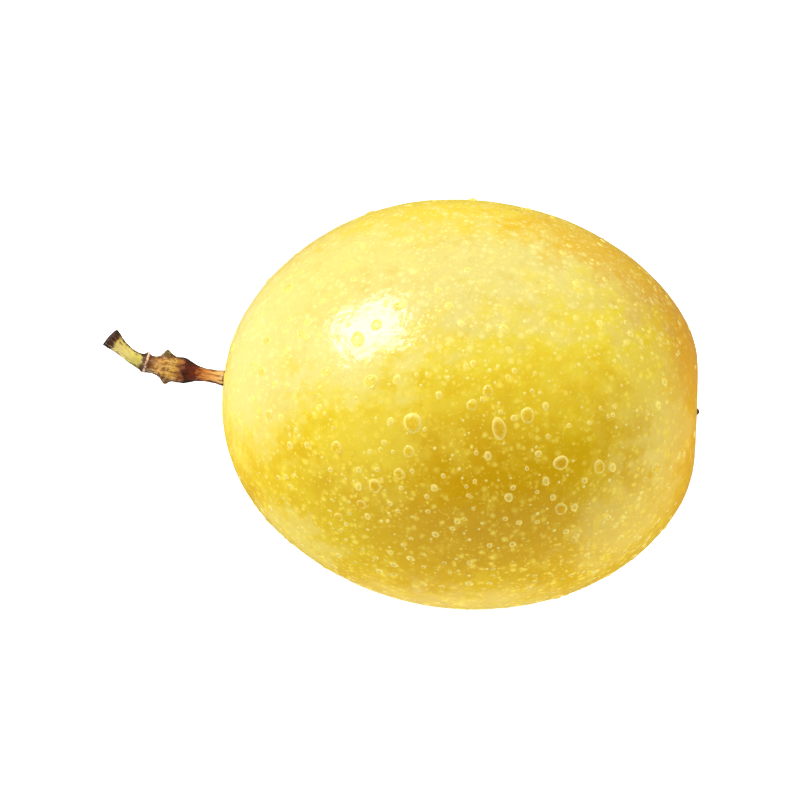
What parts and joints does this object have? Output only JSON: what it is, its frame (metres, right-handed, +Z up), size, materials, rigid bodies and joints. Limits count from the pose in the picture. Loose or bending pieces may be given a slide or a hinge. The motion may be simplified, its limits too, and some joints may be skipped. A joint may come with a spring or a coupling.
{
  "type": "passion fruit",
  "caption": "Ripe yellow passion fruit lying on its side: a smooth oval fruit with pale pores and water drops, a curved dried stalk with a lumpy flower base, and a withered style.",
  "frame": {"origin": "middle of the small flat spot on the underside that the fruit rests on", "axes": "+Z up; +X along the fruit from the stem end to the blossom end; +Y sideways, to the back as seen from the front"},
  "size_m": [0.1007, 0.069, 0.0685],
  "materials": {
    "fruit_skin": "smooth waxy yellow rind with pale cream pores, half gloss",
    "stem_bark": "dried stalk, tan to dark maroon brown, ridged, matt",
    "withered_style": "withered dark brown plant fibre, matt",
    "water": "clear water drops on the skin"
  },
  "bodies": {
    "root": {"fruit": "fruit_skin", "stem": "stem_bark", "style_stub": "withered_style"}
  },
  "joints": []
}
